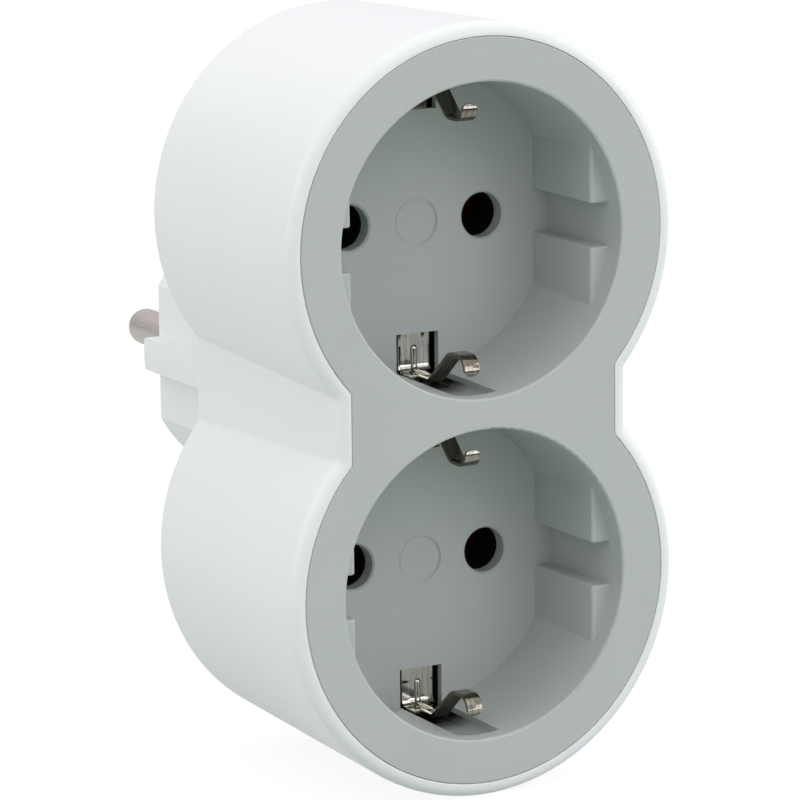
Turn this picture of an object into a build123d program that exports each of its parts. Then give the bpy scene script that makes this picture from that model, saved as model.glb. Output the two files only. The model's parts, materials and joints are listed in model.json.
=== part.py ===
from build123d import *
import os
from math import radians, tan

# Two-way plug-in socket adapter: a white shell with a plug head on its back,
# a grey cover with two round wells, and the brass and sprung strips between them.
# Millimetres. X to the right, Y from the front face to the plug pins, Z up.
# The origin lies on the plug's end face, midway between the two pins.
# A depth is counted backwards from the front face, a reach away from a well's centre.

# Standard plug pins
pin_spacing = 19.0
pin_r = 2.4
pin_length = 19.0
pin_root_r = 2.0

# The two wells, and the land between their mouths
well_mouth_r = 19.6
well_gap = 3.9
well_draft = 1.15
well_depth = 17.25
well_wall = 1.7
floor_thickness = 1.0
mouth_round = 0.3
floor_mark_r = 2.95
floor_mark_width = 0.24
floor_mark_depth = 0.05

# Pin holes in the floor and the sleeves behind them
pin_hole_r = 2.88
pin_hole_chamfer = 0.25
sleeve_wall = 1.4
sleeve_length = 1.15

# Side keys: two flats across the well, each parted by a slot
key_rise = 2.8
key_setback = 2.8
key_slot = 5.5
key_round = 0.5
key_slot_round = 0.3

# Earth grooves at the top and bottom of each well, with a window in the floor
groove_width = 6.0
groove_depth = 1.1
groove_setback = 2.4
groove_round = 0.8
groove_wall = 1.4
window_run = 5.5

# Face of the cover
plate_margin = 5.55
plate_waist = 37.0
plate_thickness = 2.6
plate_round = 0.15
plate_gap = 0.05
crease_r = 0.8

# Shell
rim_width = 1.8
rim_round = 1.4
rim_inner_round = 0.1
shell_wall = 2.2
shell_draft = 2.2
waist_draft = 0.85
inner_depth = 19.35
back_wall = 2.4
back_round = 0.8

# Plug head
plug_length = 18.8
plug_r = 18.25
plug_flats = 32.0
plug_rib = 4.2
plug_face_round = 0.8
plug_wall = 2.2
plug_face_wall = 4.0
pin_boss_r = 4.2

# Earth clips
clip_thickness = 0.5
clip_side_gap = 0.75
clip_arm_width = 2.15
clip_neck_run = 3.0
clip_neck_round = 0.4
clip_groove_gap = 1.1
clip_bend_r = 1.2
clip_rise_depth = 12.55
clip_shoulder_depth = 7.3
clip_shoulder_r = 1.2
clip_tab_depth = 3.35
clip_tab_lean = 0.5
clip_crest_rise = 4.9
clip_crest_r = 1.1
clip_tab_drop = 2.55
clip_tab_round = 1.0
clip_eye_rim = 1.6
eye_clearance = 0.3
bead_r = 0.4
bead_lift = 0.2
bead_inset = 1.9
bead_arm_run = 4.85

# Earth strap of the plug
strap_thickness = 0.8
strap_width = 5.0
strap_inset = 2.25
strap_bend_r = 1.6
strap_clearance = 0.15
strap_pocket_gap = 0.75
strap_end_wall = 2.4
strap_rivet_z = 10.0

# Bars, jaws and rivets
bar_width = 8.0
bar_thickness = 1.0
bar_gap_to_back = 3.1
bar_pad_gap = 0.95
bar_pad_height = 4.0
jaw_thickness = 0.7
jaw_height = 5.0
jaw_base_half = 3.1
jaw_mouth_half = 3.5
jaw_mouth_run = 2.7
jaw_bend_r = 0.9
jaw_mouth_gap = 0.6
pin_tail_r = 1.6
pin_tail_head_r = 3.0
pin_tail_head = 0.8
rivet_r = 1.25
rivet_head_r = 2.1
rivet_head = 0.7

# Carriers that close each side's jaws in, behind the pin holes
carrier_sleeve_gap = 0.15
carrier_jaw_gap = 0.3
carrier_wall = 1.2
carrier_round = 1.0
tunnel_gap = 0.4
tunnel_length = 5.4

# Screws, set outwards of the wells' centres, and the bosses and posts that they draw together
screw_reach = 6.0
screw_r = 1.5
screw_length = 13.0
screw_head_r = 2.6
screw_head = 1.9
screw_recess_gap = 0.3
screw_cross_length = 3.2
screw_cross_width = 0.9
screw_cross_depth = 0.8
screw_hole_gap = 0.2
pilot_gap = 0.05
boss_wall = 1.45
boss_length = 12.0
post_wall = 1.5

# Reach of cutters past a face, and how closely picked edges must match
overlap = 1.0
match = 0.01

# Places worked out from the sizes above
socket_pitch = 2 * well_mouth_r + well_gap
well_z = socket_pitch / 2
pin_x = pin_spacing / 2
floor_back = well_depth + floor_thickness
back_inside = floor_back + inner_depth
body_depth = back_inside + back_wall
plug_end = body_depth + plug_length
front_y = -plug_end
key_half = well_mouth_r - key_rise
groove_reach = well_mouth_r + groove_depth
window_reach = well_mouth_r - window_run
sleeve_r = pin_hole_r + sleeve_wall
sleeve_end = floor_back + sleeve_length
plate_lobe_r = well_mouth_r + plate_margin
shell_lobe_r = plate_lobe_r + plate_gap + rim_width
shell_waist = plate_waist + 2 * (plate_gap + rim_width)
bar_back = back_inside - bar_gap_to_back
bar_front = bar_back - bar_thickness
jaw_base = bar_front - jaw_thickness
carrier_front = sleeve_end + carrier_sleeve_gap
chamber_front = carrier_front + tunnel_length
chamber_width = 2 * jaw_mouth_half + jaw_thickness + 2 * carrier_jaw_gap
chamber_half = jaw_height / 2 + carrier_jaw_gap
web_middle = floor_back + clip_thickness / 2
web_back = floor_back + clip_thickness
clip_web_width = groove_width - 2 * clip_side_gap
clip_arm_reach = groove_reach - clip_groove_gap - clip_thickness / 2
clip_crest_reach = clip_arm_reach - clip_crest_rise
clip_neck_depth = web_middle - clip_neck_run
strap_back = web_back + strap_thickness
strap_z = plug_r - strap_inset
strap_pocket_z = strap_z - strap_thickness / 2 - strap_clearance
strap_end = plug_end - strap_end_wall - strap_clearance
bar_pad_z = well_z - rivet_head_r - bar_pad_gap - bar_pad_height / 2
screw_z = well_z + screw_reach
boss_end = floor_back + boss_length
pilot_r = screw_r + pilot_gap
boss_r = pilot_r + boss_wall
eye_r = boss_r + eye_clearance
screw_recess_r = screw_head_r + screw_recess_gap
post_r = screw_recess_r + post_wall

side_view = Plane(origin=(0, front_y, 0), x_dir=(0, 1, 0), z_dir=(1, 0, 0))
top_view = Plane(origin=(0, front_y, 0), x_dir=(1, 0, 0), z_dir=(0, 0, 1))


def prism(face, near, far):
    """Straight solid of an upright face between two depths."""
    plane = Plane(origin=(0, front_y + far, 0), x_dir=(1, 0, 0), z_dir=(0, -1, 0))
    return extrude(plane * face, amount=far - near)


def upright(depth):
    """Upright plane at a depth, facing backwards."""
    return Plane(origin=(0, front_y + depth, 0), x_dir=(1, 0, 0), z_dir=(0, 1, 0))


def drafted(face, near, far, angle):
    """Solid of an upright symmetric face that narrows backwards by the mould's draft."""
    return extrude(upright(near) * face, amount=far - near, taper=angle)


def rod(x, z, radius, near, far):
    """Round solid along the depth."""
    return prism(Pos(x, z) * Circle(radius), near, far)


def block(x, width, z_low, z_high, near, far):
    """Rectangular solid centred on an x."""
    face = Pos(x, (z_low + z_high) / 2) * Rectangle(width, z_high - z_low)
    return prism(face, near, far)


def strip(view, points, radii, thickness, width):
    """Sheet strip bent along a line of points, with a bend radius at each corner."""
    path = FilletPolyline(*points, radius=radii)
    return extrude(view * trace(path, thickness), amount=width / 2, both=True)


def figure_eight(lobe_r, waist):
    """Outline of two overlapping lobes with flat sides between them."""
    face = Rectangle(waist, socket_pitch)
    for z in (well_z, -well_z):
        face += Pos(0, z) * Circle(lobe_r)
    return fillet(face.vertices(), crease_r)


def edges_at(shape, depth):
    """Edges that lie wholly at one depth."""
    y = front_y + depth
    return shape.edges().filter_by_position(Axis.Y, y - match, y + match)


def circles_at(solid, depth, radius):
    """Round edges of one radius at one depth."""
    edges = edges_at(solid, depth).filter_by(GeomType.CIRCLE)
    return edges.filter_by(lambda edge: abs(edge.radius - radius) < match)


def make_key_block():
    """Block that stands for the right side's keys, with its front inner edge rounded."""
    width = key_rise + overlap
    length = well_depth - key_setback + overlap
    profile = Pos(key_half + width / 2, key_setback + length / 2) * Rectangle(width, length)
    front_corner = profile.vertices().group_by(Axis.X)[0].sort_by(Axis.Y)[0]
    profile = fillet(front_corner, key_round)
    solid = extrude(top_view * profile, amount=well_mouth_r, both=True)
    slot_face = Pos(key_half + width / 2, 0) * Rectangle(width, key_slot)
    keys = solid - prism(slot_face, key_setback, key_setback + length)
    slot_edges = keys.edges().filter_by_position(Axis.Z, -key_slot / 2 - match, key_slot / 2 + match)
    back_y = front_y + key_setback + length
    at_side = slot_edges.filter_by(lambda edge: edge.center().X < key_half + width - match)
    return fillet(at_side.filter_by(lambda edge: edge.center().Y < back_y - match), key_slot_round)


def make_earth_groove():
    """Groove at the top of a well, with the window that it ends in."""
    groove = block(0, groove_width, window_reach, groove_reach, groove_setback, floor_back + overlap)
    long_edges = groove.edges().filter_by(Axis.Y)
    return fillet(long_edges.group_by(Axis.Z)[-1], groove_round)


def make_well_space():
    """Hollow of one well about its own centre, with keys left standing and earth grooves."""
    space = drafted(Circle(well_mouth_r), 0, well_depth, well_draft)
    keys = make_key_block()
    space -= keys
    space -= mirror(keys, Plane.YZ)
    groove = make_earth_groove()
    space += groove
    space += mirror(groove, Plane.XY)
    return space


def make_cup():
    """Outside of one well about its own centre, with thicker walls round its grooves."""
    cup = drafted(Circle(well_mouth_r + well_wall), 0, floor_back, well_draft)
    reach = groove_reach + groove_wall
    width = groove_width + 2 * groove_wall
    return cup + block(0, width, -reach, reach, plate_thickness / 2, floor_back)


def make_front_cover():
    """Face plate with two wells, their pin sleeves and the bosses for the screws."""
    cover = prism(figure_eight(plate_lobe_r, plate_waist), 0, plate_thickness)
    cover = fillet(edges_at(cover, 0), plate_round)
    cup = make_cup()
    space = make_well_space()
    for z in (well_z, -well_z):
        cover += Pos(0, 0, z) * cup
    floor_middle = floor_back - floor_thickness / 2
    mark = Circle(floor_mark_r + floor_mark_width / 2) - Circle(floor_mark_r - floor_mark_width / 2)
    for z in (well_z, -well_z):
        cover -= Pos(0, 0, z) * space
        cover -= prism(Pos(0, z) * mark, well_depth, well_depth + floor_mark_depth)
        for x in (-pin_x, pin_x):
            cover += rod(x, z, sleeve_r, floor_middle, sleeve_end)
            cover -= rod(x, z, pin_hole_r, well_depth, sleeve_end)
    for z in (screw_z, -screw_z):
        cover += rod(0, z, boss_r, floor_middle, boss_end)
        cover -= rod(0, z, pilot_r, floor_back + floor_thickness, boss_end)
    cover = chamfer(circles_at(cover, well_depth, pin_hole_r), pin_hole_chamfer)
    return fillet(circles_at(cover, 0, well_mouth_r), mouth_round)


def make_plug_head():
    """Solid plug head: round contour with side flats and a rib along each flat."""
    contour = Circle(plug_r)
    outline = contour & Rectangle(plug_flats, 2 * plug_r)
    outline += contour & Rectangle(2 * plug_r, plug_rib)
    head = prism(outline, body_depth - overlap, plug_end)
    return fillet(edges_at(head, plug_end), plug_face_round)


def make_plug_hollow():
    """Space inside the plug head, open to the shell."""
    outline = Circle(plug_r - plug_wall)
    outline &= Rectangle(plug_flats - 2 * plug_wall, 2 * (strap_pocket_z - plug_wall))
    return prism(outline, back_inside - overlap, plug_end - plug_face_wall)


def make_tub(lobe_r, waist, depth):
    """Figure-eight body that narrows backwards, its lobes by one draft and its waist by another."""
    back_lobe_r = lobe_r - depth * tan(radians(shell_draft))
    back_waist = waist - 2 * depth * tan(radians(waist_draft))
    front = upright(0) * figure_eight(lobe_r, waist)
    back = upright(depth) * figure_eight(back_lobe_r, back_waist)
    return loft([front.face(), back.face()], ruled=True)


def make_shell():
    """Drafted figure-eight tub with a seat for the cover inside its rim."""
    shell = make_tub(shell_lobe_r, shell_waist, body_depth)
    shell = fillet(edges_at(shell, 0), rim_round)
    shell = fillet(edges_at(shell, body_depth), back_round)
    shell -= make_tub(shell_lobe_r - shell_wall, shell_waist - 2 * shell_wall, back_inside)
    seat = figure_eight(plate_lobe_r + plate_gap, plate_waist + 2 * plate_gap)
    shell -= prism(seat, 0, plate_thickness)
    rim = shell.faces().sort_by(Axis.Y)[0]
    return fillet(rim.inner_wires()[0].edges(), rim_inner_round)


def make_strap_passage():
    """Slot through the back wall and pocket along the plug's top for one leg of the strap."""
    pocket_width = strap_width + 2 * strap_pocket_gap
    pocket_end = plug_end - strap_end_wall
    pocket = block(0, pocket_width, strap_pocket_z, plug_r + overlap, body_depth, pocket_end)
    slot_width = strap_width + 2 * strap_clearance
    slot_top = 2 * strap_z - strap_pocket_z
    slot = block(0, slot_width, strap_pocket_z, slot_top, back_inside - overlap, body_depth + overlap)
    return pocket + slot


def make_rear_housing():
    """Shell and plug head in one moulding, with posts, pads and pockets for the metal."""
    housing = make_shell() + make_plug_head() - make_plug_hollow()
    for x in (-pin_x, pin_x):
        housing += rod(x, 0, pin_boss_r, bar_back, plug_end - overlap)
        housing -= rod(x, 0, pin_root_r, bar_back, plug_end)
        for z in (bar_pad_z, -bar_pad_z):
            low = z - bar_pad_height / 2
            high = z + bar_pad_height / 2
            housing += block(x, bar_width, low, high, bar_back, back_inside + back_wall / 2)
    for z in (screw_z, -screw_z):
        housing += rod(0, z, post_r, boss_end, body_depth)
        housing -= rod(0, z, screw_r + screw_hole_gap, boss_end, body_depth)
        housing -= rod(0, z, screw_recess_r, back_inside, body_depth)
    passage = make_strap_passage()
    return housing - passage - mirror(passage, Plane.XY)


def make_plug_pin(x):
    """Round-ended pin, shouldered on the plug's face, with a tail headed over on its bar."""
    round_centre = plug_end + pin_length - pin_r
    pin = rod(x, 0, pin_r, plug_end, round_centre)
    pin += Pos(x, front_y + round_centre, 0) * Sphere(pin_r)
    pin += rod(x, 0, pin_root_r, bar_back, plug_end)
    pin += rod(x, 0, pin_tail_r, bar_front, bar_back)
    return pin + rod(x, 0, pin_tail_head_r, bar_front - pin_tail_head, bar_front)


def make_bus_bar(x):
    """Strip from socket to socket with a hole for the pin's tail and two for rivets."""
    face = SlotCenterToCenter(socket_pitch, bar_width, rotation=90) - Circle(pin_tail_r)
    for z in (well_z, -well_z):
        face -= Pos(0, z) * Circle(rivet_r)
    return prism(Pos(x, 0) * face, bar_front, bar_back)


def make_jaw(x, z):
    """Folded spring jaw: two leaves that close to the pin's width and flare at the mouth."""
    base_y = jaw_base + jaw_thickness / 2
    mouth_y = chamber_front + jaw_mouth_gap
    throat_y = mouth_y + jaw_mouth_run
    throat_half = pin_r + jaw_thickness / 2
    left = [(-jaw_mouth_half, mouth_y), (-throat_half, throat_y), (-jaw_base_half, base_y)]
    right = [(-px, py) for px, py in reversed(left)]
    jaw = strip(top_view, left + right, jaw_bend_r, jaw_thickness, jaw_height)
    return Pos(x, 0, z) * (jaw - rod(0, 0, rivet_r, jaw_base, bar_front))


def make_contact_carrier(x):
    """Dark block behind two pin holes: a tunnel to each jaw's chamber and a pocket at the pin's head."""
    top = well_z + chamber_half + carrier_wall
    carrier = block(x, chamber_width + 2 * carrier_wall, -top, top, carrier_front, bar_front)
    carrier = fillet(carrier.edges().filter_by(Axis.Y), carrier_round)
    for z in (well_z, -well_z):
        carrier -= rod(x, z, pin_hole_r + tunnel_gap, carrier_front, chamber_front)
        carrier -= block(x, chamber_width, z - chamber_half, z + chamber_half, chamber_front, bar_front)
    pocket_front = bar_front - pin_tail_head - carrier_jaw_gap
    return carrier - rod(x, 0, pin_tail_head_r + carrier_jaw_gap, pocket_front, bar_front)


def make_bead():
    """Stiffening bead pressed across the lower bend of an earth clip."""
    web = web_middle - bead_lift
    run = clip_arm_reach - bead_lift
    points = [(web, -window_reach - bead_inset), (web, -run), (web_middle - bead_arm_run, -run)]
    path = side_view * FilletPolyline(*points, radius=clip_bend_r - bead_lift)
    bead = sweep(Plane(path @ 0, z_dir=path % 0) * Circle(bead_r), path)
    for end in (path @ 0, path @ 1):
        bead += Pos(end) * Sphere(bead_r)
    return bead


def make_earth_clip():
    """The upper well's strip: a web with an eye round the boss, and two sprung arms with hooked tabs."""
    half = [
        (clip_tab_depth, -clip_crest_reach - clip_tab_drop),
        (clip_tab_depth + clip_tab_lean, -clip_crest_reach),
        (clip_shoulder_depth, -clip_crest_reach),
        (clip_rise_depth, -clip_arm_reach),
        (web_middle, -clip_arm_reach),
    ]
    points = half + [(depth, -reach) for depth, reach in reversed(half)]
    radii = [clip_crest_r, clip_shoulder_r, clip_bend_r, clip_bend_r]
    clip = strip(side_view, points, radii + radii[::-1], clip_thickness, clip_web_width)
    trim_width = (clip_web_width - clip_arm_width) / 2
    for side in (-1, 1):
        trim_x = side * (clip_arm_width + trim_width) / 2
        clip -= block(trim_x, trim_width, -groove_reach, groove_reach, 0, clip_neck_depth)
    across = clip.edges().filter_by(lambda edge: abs(edge.length - clip_thickness) < match)
    clip = fillet(edges_at(across, clip_neck_depth), clip_neck_round)
    across = clip.edges().filter_by(lambda edge: abs(edge.length - clip_thickness) < match)
    clip = fillet(across.group_by(Axis.Y)[0], clip_tab_round)
    bead = make_bead()
    clip = Pos(0, 0, well_z) * (clip + bead + mirror(bead, Plane.XY))
    clip += rod(0, screw_z, eye_r + clip_eye_rim, floor_back, web_back)
    clip -= rod(0, screw_z, eye_r, floor_back, web_back)
    return clip - rod(0, strap_rivet_z, rivet_r, floor_back, web_back)


def make_plug_earth_strap():
    """U-shaped strip behind both clips, with a leg along the plug's top and bottom."""
    middle = web_back + strap_thickness / 2
    points = [(strap_end, strap_z), (middle, strap_z), (middle, -strap_z), (strap_end, -strap_z)]
    strap = strip(side_view, points, strap_bend_r, strap_thickness, strap_width)
    for z in (strap_rivet_z, -strap_rivet_z):
        strap -= rod(0, z, rivet_r, web_back, strap_back)
    return strap


def make_jaw_rivets():
    """Rivets that hold the four jaws to the bars, headed on both sides."""
    rivets = []
    for x in (-pin_x, pin_x):
        for z in (well_z, -well_z):
            rivet = rod(x, z, rivet_r, jaw_base, bar_back)
            rivet += rod(x, z, rivet_head_r, jaw_base - rivet_head, jaw_base)
            rivets.append(rivet + rod(x, z, rivet_head_r, bar_back, bar_back + rivet_head))
    return Compound(children=rivets)


def make_earth_rivets():
    """Rivets that hold the clips to the strap, set flush where the floor lies on the web."""
    rivets = []
    for z in (strap_rivet_z, -strap_rivet_z):
        rivet = rod(0, z, rivet_r, floor_back, strap_back)
        rivets.append(rivet + rod(0, z, rivet_head_r, strap_back, strap_back + rivet_head))
    return Compound(children=rivets)


def make_housing_screws():
    """Screws through the back wall into the cover's bosses, with a cross in each head."""
    screws = []
    for z in (screw_z, -screw_z):
        head_back = back_inside + screw_head
        screw = rod(0, z, screw_r, back_inside - screw_length, back_inside)
        screw += rod(0, z, screw_head_r, back_inside, head_back)
        cross = Pos(0, z) * Rectangle(screw_cross_length, screw_cross_width)
        cross += Pos(0, z) * Rectangle(screw_cross_width, screw_cross_length)
        screws.append(screw - prism(cross, head_back - screw_cross_depth, head_back))
    return Compound(children=screws)


def make_nodes():
    """Every piece by its name."""
    earth_clip = make_earth_clip()
    nodes = {
        "rear_housing": make_rear_housing(),
        "front_cover": make_front_cover(),
        "upper_earth_clip": earth_clip,
        "lower_earth_clip": mirror(earth_clip, Plane.XY),
        "plug_earth_strap": make_plug_earth_strap(),
        "jaw_rivets": make_jaw_rivets(),
        "earth_rivets": make_earth_rivets(),
        "housing_screws": make_housing_screws(),
    }
    for side, x in (("left", -pin_x), ("right", pin_x)):
        nodes[f"{side}_plug_pin"] = make_plug_pin(x)
        nodes[f"{side}_bus_bar"] = make_bus_bar(x)
        nodes[f"{side}_contact_carrier"] = make_contact_carrier(x)
        nodes[f"upper_{side}_jaw"] = make_jaw(x, well_z)
        nodes[f"lower_{side}_jaw"] = make_jaw(x, -well_z)
    return nodes


os.makedirs("parts", exist_ok=True)
for name, solid in make_nodes().items():
    export_step(solid, f"parts/{name}.step")
    print(name, round(solid.volume, 1))
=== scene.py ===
# %% [markdown]
# A plug-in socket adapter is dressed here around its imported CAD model. The CAD brings the
# exact mouldings and metal; this script brings the finishes, the folded earth strips and
# the studio. The frame is loaded first, because every later piece takes its place from it.

# %% Load the frame
import json
import math

import bmesh
import bpy
from mathutils import Matrix, Vector


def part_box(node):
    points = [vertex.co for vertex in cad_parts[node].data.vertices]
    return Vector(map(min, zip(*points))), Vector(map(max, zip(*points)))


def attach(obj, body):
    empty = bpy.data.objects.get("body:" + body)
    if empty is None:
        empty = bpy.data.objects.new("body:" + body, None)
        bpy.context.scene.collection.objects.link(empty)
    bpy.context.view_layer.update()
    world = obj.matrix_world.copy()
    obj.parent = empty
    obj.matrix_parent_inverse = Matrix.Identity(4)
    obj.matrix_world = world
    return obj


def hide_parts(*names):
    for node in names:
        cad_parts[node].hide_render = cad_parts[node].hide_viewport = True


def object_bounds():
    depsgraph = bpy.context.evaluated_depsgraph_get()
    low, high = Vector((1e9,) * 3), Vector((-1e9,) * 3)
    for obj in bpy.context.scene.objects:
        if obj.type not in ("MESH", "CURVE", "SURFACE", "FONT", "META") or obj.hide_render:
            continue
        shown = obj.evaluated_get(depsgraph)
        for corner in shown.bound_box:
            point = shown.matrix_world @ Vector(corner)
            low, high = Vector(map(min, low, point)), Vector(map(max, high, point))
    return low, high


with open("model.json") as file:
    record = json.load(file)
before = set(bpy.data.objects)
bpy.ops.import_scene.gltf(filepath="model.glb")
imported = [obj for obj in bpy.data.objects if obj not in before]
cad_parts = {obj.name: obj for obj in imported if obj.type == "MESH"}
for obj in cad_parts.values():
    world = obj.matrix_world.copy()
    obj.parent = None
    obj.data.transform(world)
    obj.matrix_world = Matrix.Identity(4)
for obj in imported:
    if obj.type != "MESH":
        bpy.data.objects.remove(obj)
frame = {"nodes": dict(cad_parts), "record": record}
nodes = frame["nodes"]
cad_low, cad_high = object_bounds()
MM = 0.001
print("nodes", len(nodes), "size mm", [round(v / MM, 1) for v in cad_high - cad_low])

# %% [markdown]
# Colours are written as they would be picked from a screen, in sRGB hex, but Blender's
# shaders work in linear light. One function turns the one into the other. A second small
# function adds a node, sets its values and links its inputs, which keeps each material
# short. In its calls From_Min stands for the input From Min, and i6 for input number 6,
# because several inputs of a Math or Mix node share one name.

# %% Colour and node helpers
def linear(hex_colour):
    channels = [int(hex_colour[i:i + 2], 16) / 255 for i in (1, 3, 5)]
    curved = [c / 12.92 if c <= 0.04045 else ((c + 0.055) / 1.055) ** 2.4 for c in channels]
    return (*curved, 1.0)


def node(tree, kind, settings=None, **inputs):
    made = tree.nodes.new(kind)
    for name, value in (settings or {}).items():
        setattr(made, name, value)
    for name, value in inputs.items():
        key = int(name[1:]) if name[0] == "i" and name[1:].isdigit() else name.replace("_", " ")
        if isinstance(value, bpy.types.NodeSocket):
            tree.links.new(value, made.inputs[key])
        else:
            made.inputs[key].default_value = value
    return made


def new_material(name):
    material = bpy.data.materials.new(name)
    material.use_nodes = True
    tree = material.node_tree
    shader = tree.nodes["Principled BSDF"]
    place = tree.nodes.new("ShaderNodeTexCoord").outputs["Object"]
    return material, tree, shader, place


def per_metre(size_mm):
    """Texture scale that gives a pattern its feature size."""
    return 1 / (size_mm * MM)


print("white in linear light", linear("#ffffff")[:3])

# %% [markdown]
# The shell is white ABS, injection moulded in a finely polished tool. Such a wall is never
# quite one tone: the melt leaves soft cloudy differences, and the tool's fine texture
# breaks the gloss. Noise at two sizes gives both, one for the tone and one for the surface.
# The texture is drawn coarser than it is, because its real size is too fine to show.

# %% White shell plastic
CLOUD_MM = 14


def moulded_plastic(name, colour, cloud, rough, rough_swing, grain_mm, grain_depth_mm):
    material, tree, shader, place = new_material(name)
    clouds = node(tree, "ShaderNodeTexNoise", Vector=place, Scale=per_metre(CLOUD_MM), Detail=3.0)
    tone = node(tree, "ShaderNodeMix", {"data_type": "RGBA"}, i0=clouds.outputs["Fac"],
                i6=linear(cloud), i7=linear(colour))
    tree.links.new(tone.outputs[2], shader.inputs["Base Color"])
    grain = node(tree, "ShaderNodeTexNoise", Vector=place, Scale=per_metre(grain_mm), Detail=2.0)
    gloss = node(tree, "ShaderNodeMapRange", Value=grain.outputs["Fac"],
                 To_Min=rough - rough_swing, To_Max=rough + rough_swing)
    tree.links.new(gloss.outputs["Result"], shader.inputs["Roughness"])
    bump = node(tree, "ShaderNodeBump", Height=grain.outputs["Fac"], Distance=grain_depth_mm * MM)
    tree.links.new(bump.outputs["Normal"], shader.inputs["Normal"])
    return material, shader


# ABS from a polished tool: a cool white with a soft satin sheen.
white_abs, white_shader = moulded_plastic(
    "white_abs_moulded", colour="#e9eeeb", cloud="#e5eae7",
    rough=0.36, rough_swing=0.05, grain_mm=0.45, grain_depth_mm=0.004)
white_shader.inputs["IOR"].default_value = 1.53
nodes["rear_housing"].data.materials[0] = white_abs
print("shell", white_abs.name)

# %% [markdown]
# The cover is a glass-filled grey plastic that stands the warmth of the contacts. Its tool
# is spark-eroded, so the face is matt with a fine grain, drawn here a little coarser than
# it is so that it shows. The carriers behind the pin holes are the same kind in black.

# %% Grey cover and black carriers
# PBT from a spark-eroded tool: a matt grey that shows no mirror image.
grey_pbt, grey_shader = moulded_plastic(
    "grey_pbt_spark_eroded", colour="#b8bfbb", cloud="#b3bab6",
    rough=0.46, rough_swing=0.06, grain_mm=0.3, grain_depth_mm=0.006)
grey_shader.inputs["IOR"].default_value = 1.5
nodes["front_cover"].data.materials[0] = grey_pbt

# PBT filled with soot: so dark and matt that a pin hole looks empty. The black is partly the carriers'
# own colour and partly painted shade for the depth of the holes.
black_pbt, _ = moulded_plastic(
    "black_pbt_moulded", colour="#0c0c0c", cloud="#080808",
    rough=0.6, rough_swing=0.05, grain_mm=0.3, grain_depth_mm=0.006)
print("plastics", grey_pbt.name, black_pbt.name)

# %% [markdown]
# Two places on the cover send back less light than the plain finish would. The first is the
# deep end of each earth groove. It lies under its strip, beside a window into the dark
# inside, and goes from grey to black within a few millimetres. Lamps alone can't show that
# at this size, so the tone is lowered by place, in Object coordinates: a point is in a groove
# if it is near the middle line and far from its well's centre, and then its depth counts.

# %% Shade in the earth grooves
WELL_Z = 21.55
GROOVE_HALF, GROOVE_REACH = 3.05, 19.8
FADE_START, FADE_END, FADE_LEVEL = 9.2, 12.6, 0.2
DARK_START, DARK_END = 13.2, 13.8
MATH, RANGE = "ShaderNodeMath", "ShaderNodeMapRange"
cover = grey_pbt.node_tree
cover_place = cover.nodes["Texture Coordinate"].outputs["Object"]
x, y, z = node(cover, "ShaderNodeSeparateXYZ", Vector=cover_place).outputs
side = node(cover, MATH, {"operation": "ABSOLUTE"}, i0=x).outputs[0]
height = node(cover, MATH, {"operation": "ABSOLUTE"}, i0=z).outputs[0]
offset = node(cover, MATH, {"operation": "SUBTRACT"}, i0=height, i1=WELL_Z * MM).outputs[0]
reach = node(cover, MATH, {"operation": "ABSOLUTE"}, i0=offset).outputs[0]
narrow = node(cover, MATH, {"operation": "LESS_THAN"}, i0=side, i1=GROOVE_HALF * MM).outputs[0]
far = node(cover, MATH, {"operation": "GREATER_THAN"}, i0=reach, i1=GROOVE_REACH * MM).outputs[0]
in_groove = node(cover, MATH, {"operation": "MULTIPLY"}, i0=narrow, i1=far).outputs[0]
depth = node(cover, MATH, {"operation": "SUBTRACT"}, i0=y, i1=cad_low.y).outputs[0]
fading = node(cover, RANGE, Value=depth, From_Min=FADE_START * MM, From_Max=FADE_END * MM,
              To_Min=1.0, To_Max=FADE_LEVEL).outputs[0]
closing = node(cover, RANGE, Value=depth, From_Min=DARK_START * MM, From_Max=DARK_END * MM,
               To_Min=1.0, To_Max=0.0).outputs[0]
kept = node(cover, MATH, {"operation": "MULTIPLY"}, i0=fading, i1=closing).outputs[0]
lost = node(cover, MATH, {"operation": "SUBTRACT"}, i0=1.0, i1=kept).outputs[0]
groove_shade = node(cover, MATH, {"operation": "MULTIPLY"}, i0=in_groove, i1=lost).outputs[0]
print("groove shade from", FADE_START, "mm deep, black from", DARK_END, "mm")

# %% [markdown]
# The second place is the ring marked in each well's floor, which is darkest on its right,
# where its small wall faces away from the light. The distance from the well's centre gives
# the ring, and x its right side. The darker of both shades then lowers the cover's tone.

# %% Shade on the floor's rings
RING_R, RING_HALF, RING_SHADE = 2.87, 0.3, 0.3
ring_place = node(cover, "ShaderNodeCombineXYZ", X=x, Y=offset).outputs[0]
radius = node(cover, "ShaderNodeVectorMath", {"operation": "LENGTH"}, i0=ring_place).outputs["Value"]
miss = node(cover, MATH, {"operation": "SUBTRACT"}, i0=radius, i1=RING_R * MM).outputs[0]
beside = node(cover, MATH, {"operation": "ABSOLUTE"}, i0=miss).outputs[0]
band = node(cover, RANGE, Value=beside, From_Max=RING_HALF * MM,
            To_Min=RING_SHADE, To_Max=0.0).outputs[0]
rightness = node(cover, RANGE, Value=x, From_Max=RING_R * MM).outputs[0]
ring_shade = node(cover, MATH, {"operation": "MULTIPLY"}, i0=band, i1=rightness).outputs[0]

shade = node(cover, MATH, {"operation": "MAXIMUM"}, i0=groove_shade, i1=ring_shade).outputs[0]
plain_tone = grey_shader.inputs["Base Color"].links[0].from_socket
shaded_tone = node(cover, "ShaderNodeMix", {"data_type": "RGBA"}, i0=shade,
                   i6=plain_tone, i7=linear("#000000"))
cover.links.new(shaded_tone.outputs[2], grey_shader.inputs["Base Color"])
print("cover nodes", len(cover.nodes))

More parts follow.
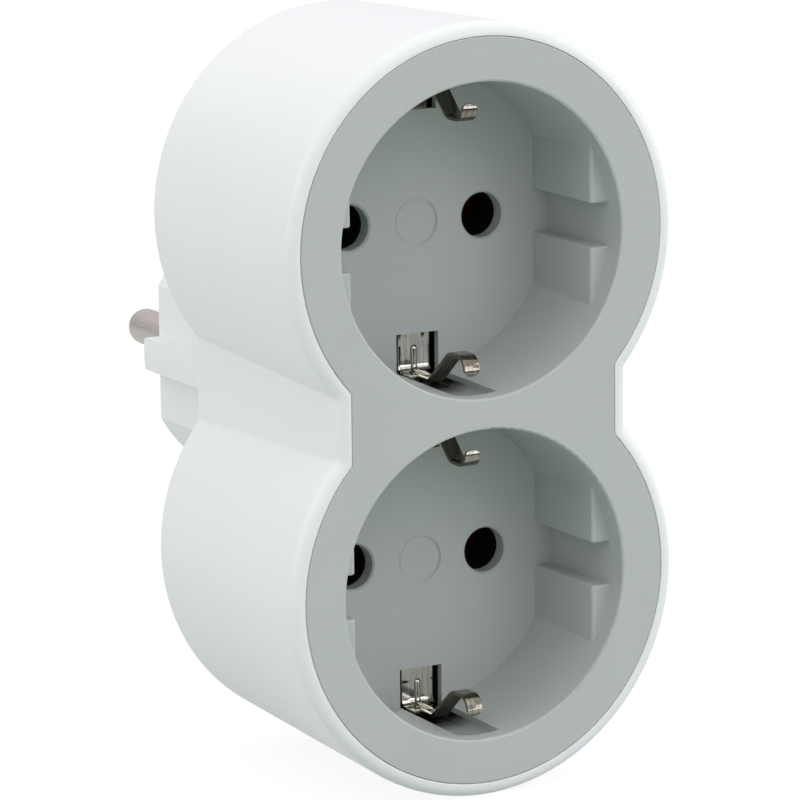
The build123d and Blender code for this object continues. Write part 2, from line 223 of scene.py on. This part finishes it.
# %% [markdown]
# Plug pins and earth strips are brass with a thin coat of nickel. Nickel is a warm grey
# mirror that rolling and pressing have dulled along the strip, so tone and roughness are
# stretched noise. On the strips it follows their flat length, which each vertex keeps as
# an attribute. Inner contacts are bare brass, and the screws are zinc plated. The lines are
# drawn coarser than real ones, which would be too fine to show.

# %% Plated and bare metals
ALONG_FLAT = "flat"
STREAK_STRETCH = 0.06
STREAK_LOW, STREAK_HIGH = 0.3, 0.7
LINE_DEPTH_MM = 0.002


def drawn_metal(name, colour, stain, rough, rough_swing, line_mm, along, follow=None):
    material, tree, shader, place = new_material(name)
    if follow:
        across = node(tree, "ShaderNodeSeparateXYZ", Vector=place).outputs["X"]
        run = node(tree, "ShaderNodeAttribute", {"attribute_name": follow}).outputs["Fac"]
        place = node(tree, "ShaderNodeCombineXYZ", X=across, Y=run).outputs[0]
    stretched = node(tree, "ShaderNodeMapping", Vector=place, Scale=along).outputs[0]
    lines = node(tree, "ShaderNodeTexNoise", Vector=stretched, Scale=per_metre(line_mm),
                 Detail=3.0).outputs["Fac"]
    streaks = node(tree, "ShaderNodeMapRange", Value=lines, From_Min=STREAK_LOW, From_Max=STREAK_HIGH)
    tone = node(tree, "ShaderNodeMix", {"data_type": "RGBA"}, i0=streaks.outputs["Result"],
                i6=linear(stain), i7=linear(colour))
    tree.links.new(tone.outputs[2], shader.inputs["Base Color"])
    gloss = node(tree, "ShaderNodeMapRange", Value=lines,
                 To_Min=rough - rough_swing, To_Max=rough + rough_swing)
    tree.links.new(gloss.outputs["Result"], shader.inputs["Roughness"])
    bump = node(tree, "ShaderNodeBump", Height=lines, Distance=LINE_DEPTH_MM * MM)
    tree.links.new(bump.outputs["Normal"], shader.inputs["Normal"])
    shader.inputs["Metallic"].default_value = 1.0
    return material


# Rolled and plated strip: a clear mirror with darker lines along it.
nickel_strip = drawn_metal("nickel_plated_strip", "#e6e4da", "#b4b1a5", 0.09, 0.04, 0.3,
                           (1, STREAK_STRETCH * MM, 1), ALONG_FLAT)
# Turned and plated pin: a soft, slightly warm gleam along its length.
nickel_pin = drawn_metal("nickel_plated_pin", "#c2bdb8", "#b2aca6", 0.3, 0.06, 0.25,
                         (1, STREAK_STRETCH, 1))
# Stamped brass: yellow, with the rolling lines of its sheet.
brass = drawn_metal("bare_stamped_brass", "#d8b46a", "#b98f4c", 0.32, 0.1, 0.25,
                    (1, 1, STREAK_STRETCH))
# Zinc-plated steel: a cool, even, half-bright grey.
zinc = drawn_metal("zinc_plated_steel", "#c3c6c9", "#aeb2b6", 0.3, 0.08, 0.2, (1, 1, 1))

slot_finish = {"plated_pin": nickel_pin, "plated_spring": nickel_strip, "bare_brass": brass,
               "zinc_steel": zinc, "black_carrier": black_pbt}
for part in frame["record"]["subparts"]:
    if part["material_slot"] in slot_finish:
        nodes[part["node"]].data.materials[0] = slot_finish[part["material_slot"]]
print("finishes", sorted(m.name for m in set(slot_finish.values())))

# %% [markdown]
# Each well has one earth strip: a web behind the floor, with an eye round a screw boss and a
# rivet hole, and an arm at each end that comes forward through a window and hooks over a
# plug's side contact. It could be lofted along its bent line, but the real one is a flat
# blank that a press folds bend by bend, and that is done here too. First comes the arm's
# line, from which the folds are worked out: where each starts on the blank, its angle and
# its radius. The arm that stands lower in a well is bent a little closer to the wall.

# %% Folds of the earth strip
STRIP_THICK = 0.5
ARM_STAND, SHOULDER_BACK = 5.95, 3.95
TAB_LEAN, TIP_RUN, TIP_BACK = 0.3, 0.6, 0.17
BEND_R, SHOULDER_R, CREST_R, TIP_R = 1.2, 2.0, 1.6, 0.8
box_low, box_high = (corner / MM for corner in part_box("upper_earth_clip"))
arm_reach = (box_high.z - box_low.z - STRIP_THICK) / 2
tab_stand = box_high.y - box_low.y - STRIP_THICK


def arm_folds(crest_drop, tab_run):
    """The folds of one arm, as start, angle and radius, and where its blank ends."""
    crest = arm_reach - crest_drop
    line = [Vector(point) for point in (
        (0, 0), (0, arm_reach), (ARM_STAND, arm_reach), (tab_stand - SHOULDER_BACK, crest),
        (tab_stand - TAB_LEAN, crest), (tab_stand, crest + tab_run - TIP_RUN),
        (tab_stand - TIP_BACK, crest + tab_run))]
    radii = (BEND_R, BEND_R, SHOULDER_R, CREST_R, TIP_R)
    folds, spent = [], 0.0
    for before, corner, after, radius in zip(line, line[1:], line[2:], radii):
        come, leave = corner - before, after - corner
        angle = math.atan2(come.y * leave.x - come.x * leave.y, come.dot(leave))
        tangent = radius * math.tan(abs(angle) / 2)
        start = spent + come.length - tangent
        folds.append((start, angle, radius))
        spent = start + radius * abs(angle) - tangent
    return folds, spent + (line[-1] - line[-2]).length


upper_arm = arm_folds(crest_drop=4.9, tab_run=2.1)
lower_arm = arm_folds(crest_drop=4.3, tab_run=2.3)
print("blank half lengths mm", [round(tip, 2) for _, tip in (upper_arm, lower_arm)])
print("folds", [round(math.degrees(angle), 1) for _, angle, _ in upper_arm[0]])

# %% [markdown]
# The web keeps its clean plating. The arms get painted shade: a dull, slightly brown tone,
# multiplied in for the dark grooves that they mirror, and less of it towards the tabs' ends.
# The strip's flat length tells where an arm begins, so the same attribute carries this.

# %% Painted shade on the arms
# Painted shade: the arms' tone is multiplied down from the second bend, and less near the tab's end.
ARM_SHADE_TONE, SHADE_RUN, TAB_SHARE = "#98948b", 2.0, 0.6
_, second_bend, _, _, tip_bend = upper_arm[0]
arm_start, tab_end = second_bend[0], tip_bend[0]
strip = nickel_strip.node_tree
strip_shader = strip.nodes["Principled BSDF"]
run = node(strip, "ShaderNodeAttribute", {"attribute_name": ALONG_FLAT}).outputs["Fac"]
from_middle = node(strip, MATH, {"operation": "ABSOLUTE"}, i0=run).outputs[0]
darkened = node(strip, RANGE, Value=from_middle,
            From_Min=arm_start, From_Max=arm_start + SHADE_RUN).outputs[0]
tab_lighter = node(strip, RANGE, Value=from_middle, From_Min=tab_end - SHADE_RUN / 2, From_Max=tab_end,
              To_Min=1.0, To_Max=TAB_SHARE).outputs[0]
arm_shade = node(strip, MATH, {"operation": "MULTIPLY"}, i0=darkened, i1=tab_lighter).outputs[0]
strip_tone = strip_shader.inputs["Base Color"].links[0].from_socket
# The painted shade darkens the strip's own tone here.
shaded_strip_tone = node(strip, "ShaderNodeMix", {"data_type": "RGBA", "blend_type": "MULTIPLY"},
                 i0=arm_shade, i6=strip_tone, i7=linear(ARM_SHADE_TONE))
strip.links.new(shaded_strip_tone.outputs[2], strip_shader.inputs["Base Color"])
print("arms dull from mm", round(arm_start, 2), "to", round(tab_end, 2))

# %% [markdown]
# Half the blank's outline is drawn with single vertices and spun arcs, its neck corners are
# rounded by a vertex bevel, and the half is mirrored. The web is wide, the arms are narrow,
# and the eye bulges out of the web's side.

# %% Outline of the blank
WEB_HALF, ARM_HALF, TAB_ROUND = 2.25, 1.075, 1.0
NECK_RUN, NECK_ROUND = 1.8, 0.4
EYE_REACH, EYE_R, EYE_RIM_R = 6.0, 3.3, 4.9
TAB_STEPS, EYE_STEPS, NECK_STEPS = 10, 20, 4
QUARTER_TURN = math.pi / 2
MERGE_MM = 1e-4


def all_of(build):
    return build.verts[:] + build.edges[:] + build.faces[:]


def draw_outline(build, first_tip, last_tip):
    neck = arm_reach + BEND_R * (QUARTER_TURN - 1) + NECK_RUN
    eye_cut = math.sqrt(EYE_RIM_R ** 2 - WEB_HALF ** 2)
    eye_turn = 2 * math.atan2(eye_cut, WEB_HALF)
    tab_x = ARM_HALF - TAB_ROUND
    ends = [build.verts.new((0, -first_tip, 0))]
    necks = []

    def run_to(x, along):
        vert = build.verts.new((x, along, 0))
        build.edges.new((ends[-1], vert))
        ends.append(vert)

    def arc(x, along, turn, steps):
        spun = bmesh.ops.spin(build, geom=[ends[-1]], cent=(x, along, 0), axis=(0, 0, 1),
                              angle=turn, steps=steps)
        ends.append(spun["geom_last"][0])

    run_to(tab_x, -first_tip)
    arc(tab_x, TAB_ROUND - first_tip, QUARTER_TURN, TAB_STEPS)
    for x in (ARM_HALF, WEB_HALF):
        run_to(x, -neck)
        necks.append(ends[-1])
    run_to(WEB_HALF, EYE_REACH - eye_cut)
    arc(0, EYE_REACH, eye_turn, EYE_STEPS)
    for x in (WEB_HALF, ARM_HALF):
        run_to(x, neck)
        necks.append(ends[-1])
    run_to(ARM_HALF, last_tip - TAB_ROUND)
    arc(tab_x, last_tip - TAB_ROUND, QUARTER_TURN, TAB_STEPS)
    run_to(0, last_tip)
    bmesh.ops.bevel(build, geom=necks, offset=NECK_ROUND, segments=NECK_STEPS, profile=0.5,
                    affect="VERTICES", material=-1)
    bmesh.ops.mirror(build, geom=all_of(build), matrix=Matrix(), merge_dist=MERGE_MM, axis="X")


print("web and arm widths mm", 2 * WEB_HALF, 2 * ARM_HALF)

# %% [markdown]
# Two circles are the eye's opening and the rivet hole. The filled blank is cut into rows where
# it will bend, and into narrow columns where the stiffening bead is pressed up, so that each
# has enough faces to curve.

# %% Blank with its holes and cuts
RIVET_REACH, RIVET_R = -11.55, 1.25
BEAD_START, BEAD_END, BEAD_HALF, BEAD_RISE = 15.8, 23.9, 0.45, 0.35
HOLE_SEGMENTS = 40
ROWS_PER_FOLD = 12
BEAD_CUTS = 4
CUT_MM = 1e-5


def cut(build, geometry, place, direction):
    bmesh.ops.bisect_plane(build, geom=geometry, dist=CUT_MM, plane_co=place, plane_no=direction)


def make_blank(build, arms):
    draw_outline(build, arms[-1][1], arms[1][1])
    for along, radius in ((EYE_REACH, EYE_R), (RIVET_REACH, RIVET_R)):
        bmesh.ops.create_circle(build, radius=radius, segments=HOLE_SEGMENTS,
                                matrix=Matrix.Translation((0, along, 0)))
    bmesh.ops.triangle_fill(build, edges=build.edges[:], use_beauty=True)
    for side in (-1, 1):
        for start, angle, radius in arms[side][0]:
            for row in range(ROWS_PER_FOLD + 1):
                along = start + radius * abs(angle) * row / ROWS_PER_FOLD
                cut(build, all_of(build), (0, side * along, 0), (0, 1, 0))
        for step in range(BEAD_CUTS):
            inset = BEAD_HALF * step / (BEAD_CUTS - 1)
            for along in (BEAD_START + inset, BEAD_END - inset):
                cut(build, all_of(build), (0, side * along, 0), (0, 1, 0))
    for column in range(-BEAD_CUTS, BEAD_CUTS + 1):
        beaded = [f for f in build.faces if BEAD_START < abs(f.calc_center_median().y) < BEAD_END]
        edges = {edge for face in beaded for edge in face.edges}
        corners = {vert for face in beaded for vert in face.verts}
        cut(build, [*beaded, *edges, *corners], (BEAD_HALF * column / BEAD_CUTS, 0, 0), (1, 0, 0))
    print("blank faces", len(build.faces))


# %% [markdown]
# The bead is raised as a rounded ridge. Each fold wraps what lies on its arc and swings what
# lies beyond it. Folds are made from the tab inwards, so that none disturbs an earlier one.

# %% Bead and fold
def raise_bead(build):
    for vert in build.verts:
        along = abs(vert.co.y)
        past = max(BEAD_START + BEAD_HALF - along, along - BEAD_END + BEAD_HALF, 0)
        share = math.hypot(vert.co.x, past) / BEAD_HALF
        if share < 1 and vert.co.z > 0:
            vert.co.z += BEAD_RISE * math.sqrt(1 - share ** 2)


def fold(build, flat, side, start, angle, radius):
    way = math.copysign(1, angle)
    arc = radius * abs(angle)
    for vert in build.verts:
        run = side * vert[flat] - start
        if run <= 0:
            continue
        turn = min(run, arc) / radius
        sine, cosine = math.sin(turn), math.cos(turn)
        beyond = side * vert.co.y - start - arc if run > arc else 0.0
        height = vert.co.z
        vert.co.z = way * radius * (1 - cosine) + height * cosine + way * beyond * sine
        vert.co.y = side * (start + (radius - way * height) * sine + beyond * cosine)


print("bead from", BEAD_START, "to", BEAD_END, "mm along the blank")

# %% [markdown]
# The blank gets its thickness by extrusion and its stamped edges are softened by a small
# bevel. Every vertex notes its place on the flat blank before the folds. The folded strip is
# then turned into the adapter's frame and takes the place of its plainer CAD clip.

# %% Fold and place the strips
EDGE_SOFT, EDGE_STEPS = 0.08, 2
SMOOTH_ANGLE = math.radians(40)


def finish_mesh(build, name, material, replaced):
    bmesh.ops.recalc_face_normals(build, faces=build.faces)
    mesh = bpy.data.meshes.new(name)
    build.to_mesh(mesh)
    build.free()
    mesh.materials.append(material)
    mesh.shade_smooth()
    mesh.set_sharp_from_angle(angle=SMOOTH_ANGLE)
    piece = bpy.data.objects.new(name, mesh)
    bpy.context.scene.collection.objects.link(piece)
    piece.modifiers.new("even_normals", "WEIGHTED_NORMAL").keep_sharp = True
    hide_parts(replaced)
    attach(piece, "root")
    print(name, "faces", len(mesh.polygons))


def make_earth_strip(name, replaced, way_up):
    build = bmesh.new()
    flat = build.verts.layers.float.new(ALONG_FLAT)
    arms = {way_up: upper_arm, -way_up: lower_arm}
    make_blank(build, arms)
    bmesh.ops.translate(build, verts=build.verts, vec=(0, 0, -STRIP_THICK / 2))
    grown = bmesh.ops.extrude_face_region(build, geom=build.faces[:])["geom"]
    raised = [g for g in grown if isinstance(g, bmesh.types.BMVert)]
    bmesh.ops.translate(build, verts=raised, vec=(0, 0, STRIP_THICK))
    bmesh.ops.recalc_face_normals(build, faces=build.faces)
    rims = [e for e in build.edges if len({abs(f.normal.z) > 0.5 for f in e.link_faces}) == 2]
    bmesh.ops.bevel(build, geom=rims, offset=EDGE_SOFT, segments=EDGE_STEPS, profile=0.5,
                    affect="EDGES", material=-1)
    raise_bead(build)
    for vert in build.verts:
        vert[flat] = vert.co.y
    for side in (-1, 1):
        for start, angle, radius in reversed(arms[side][0]):
            fold(build, flat, side, start, angle, radius)
    low, high = (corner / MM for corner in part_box(replaced))
    web_y, middle_z = high.y - STRIP_THICK / 2, (low.z + high.z) / 2
    place = Matrix(((1, 0, 0, 0), (0, 0, -1, web_y), (0, way_up, 0, middle_z), (0, 0, 0, 1)))
    bmesh.ops.transform(build, matrix=Matrix.Scale(MM, 4) @ place, verts=build.verts)
    finish_mesh(build, name, nickel_strip, replaced)


make_earth_strip("upper_earth_strip", "upper_earth_clip", 1)
make_earth_strip("lower_earth_strip", "lower_earth_clip", -1)

# %% [markdown]
# The studio is a white sweep. The floor keeps the object's soft shadow: part of what the
# camera sees there is real diffuse light, and the rest is a steady white. In a mirror the
# sweep ends in front of the object and a dim room begins, which gives the metal its dark
# reflections. What the floor throws back on the object is plain diffuse, faintly green.

# %% Floor
FLOOR_HALF = 3.0
FLOOR_STEADY, FLOOR_SHADED, FLOOR_BOUNCE = 0.9, 0.14, (0.44, 0.5, 0.46, 1)
SWEEP_EDGE, ROOM_EDGE, ROOM_LEVEL = -40 * MM, -290 * MM, 0.03


def floor_material():
    material, tree, shader, place = new_material("white_sweep")
    tree.nodes.remove(shader)
    rays = tree.nodes.new("ShaderNodeLightPath").outputs
    straight = node(tree, MATH, {"operation": "MAXIMUM"},
                    i0=rays["Is Camera Ray"], i1=rays["Is Transmission Ray"]).outputs[0]
    seen = node(tree, MATH, {"operation": "MAXIMUM"}, i0=straight, i1=rays["Is Glossy Ray"]).outputs[0]
    toward = node(tree, "ShaderNodeSeparateXYZ", Vector=place).outputs["Y"]
    sweep = node(tree, RANGE, Value=toward, From_Min=ROOM_EDGE, From_Max=SWEEP_EDGE,
                 To_Min=ROOM_LEVEL, To_Max=FLOOR_STEADY).outputs[0]
    steady = node(tree, RANGE, Value=straight, To_Min=sweep, To_Max=FLOOR_STEADY).outputs[0]
    paint = node(tree, "ShaderNodeBsdfDiffuse", Color=FLOOR_BOUNCE).outputs[0]
    shaded = node(tree, MATH, {"operation": "MULTIPLY"}, i0=straight, i1=FLOOR_SHADED).outputs[0]
    thin_paint = node(tree, "ShaderNodeBsdfDiffuse", Color=shaded).outputs[0]
    white = node(tree, "ShaderNodeEmission", Strength=steady).outputs[0]
    lit = node(tree, "ShaderNodeAddShader", i0=thin_paint, i1=white).outputs[0]
    either = node(tree, "ShaderNodeMixShader", i0=seen, i1=paint, i2=lit).outputs[0]
    tree.links.new(either, tree.nodes["Material Output"].inputs["Surface"])
    return material


mesh = bpy.data.meshes.new("floor")
build = bmesh.new()
bmesh.ops.create_grid(build, x_segments=1, y_segments=1, size=FLOOR_HALF,
                      matrix=Matrix.Translation((0, 0, cad_low.z)))
build.to_mesh(mesh)
build.free()
floor = bpy.data.objects.new("floor", mesh)
bpy.context.scene.collection.objects.link(floor)
mesh.materials.append(floor_material())
print("floor at z mm", round(cad_low.z / MM, 2))

# %% [markdown]
# The world is white where it is looked at. As a light it is a pale lilac dome, bright above
# and dark below, so that the underside of each form keeps a soft shade.

# %% World
CEILING, CEILING_TINT = 1.25, (1.02, 0.985, 1.035, 1)
world = bpy.data.worlds.new("studio")
bpy.context.scene.world = world
world.use_nodes = True
sky = world.node_tree
background = sky.nodes["Background"]
rays = sky.nodes.new("ShaderNodeLightPath").outputs
straight = node(sky, MATH, {"operation": "MAXIMUM"},
                i0=rays["Is Camera Ray"], i1=rays["Is Transmission Ray"]).outputs[0]
direction = sky.nodes.new("ShaderNodeTexCoord").outputs["Generated"]
upward = node(sky, "ShaderNodeSeparateXYZ", Vector=direction).outputs["Z"]
dome = node(sky, RANGE, Value=upward, From_Min=-1.0, To_Min=0.0, To_Max=CEILING).outputs[0]
level = node(sky, RANGE, Value=straight, To_Min=dome).outputs[0]
tint = node(sky, "ShaderNodeMix", {"data_type": "RGBA"}, i0=straight,
            i6=CEILING_TINT, i7=linear("#ffffff")).outputs[2]
sky.links.new(tint, background.inputs["Color"])
sky.links.new(level, background.inputs["Strength"])
print("ceiling level", CEILING)

# %% [markdown]
# Four soft boxes stand round the object: broad ones on the left, the right and high in
# front, which leave the mild shading of a catalogue picture, and a smaller low one in
# front on the right, which the lower tabs of the earth strips mirror.

# %% Lamps
LAMP_AIM = Vector((0, -0.03, 0))


def soft_box(name, place, size, watts):
    lamp = bpy.data.lights.new(name, "AREA")
    lamp.shape = "SQUARE"
    lamp.size = size
    lamp.energy = watts
    stand = bpy.data.objects.new(name, lamp)
    stand.location = place
    stand.rotation_euler = (LAMP_AIM - Vector(place)).to_track_quat("-Z", "Y").to_euler()
    bpy.context.scene.collection.objects.link(stand)


soft_box("left", (-1.2, 0.0, 0.3), 0.8, 2.42)
soft_box("right", (1.13, -0.4, 0.3), 0.8, 3.22)
soft_box("low", (0.6, -1.05, 0.2), 0.5, 1.22)
soft_box("high", (0.0, -0.9, 0.9), 0.8, 1.36)

# %% [markdown]
# The camera stands where the photograph's did, found by fitting the wells' rims and
# pin holes: a long lens, from the left and a little above, with a trace of roll.

# %% Camera
CAMERA_PLACE = Vector((-324.18, -636.15, 134.09)) * MM
CAMERA_AZIMUTH, CAMERA_ELEVATION, CAMERA_ROLL = (math.radians(a) for a in (28.41, 11.29, -0.65))
LENS_MM = 247.56
NEAREST, FARTHEST = 0.01, 20
back = Vector((-math.sin(CAMERA_AZIMUTH) * math.cos(CAMERA_ELEVATION),
               -math.cos(CAMERA_AZIMUTH) * math.cos(CAMERA_ELEVATION), math.sin(CAMERA_ELEVATION)))
lens = bpy.data.cameras.new("camera")
lens.lens = LENS_MM
lens.clip_start, lens.clip_end = NEAREST, FARTHEST
camera = bpy.data.objects.new("camera", lens)
bpy.context.scene.collection.objects.link(camera)
level_turn = (-back).to_track_quat("-Z", "Y").to_matrix()
roll_turn = Matrix.Rotation(CAMERA_ROLL, 3, "Z")
camera.matrix_world = Matrix.Translation(CAMERA_PLACE) @ (level_turn @ roll_turn).to_4x4()
bpy.context.scene.camera = camera
bpy.context.scene.view_settings.view_transform = "Standard"
print("camera", [round(v, 3) for v in camera.location])
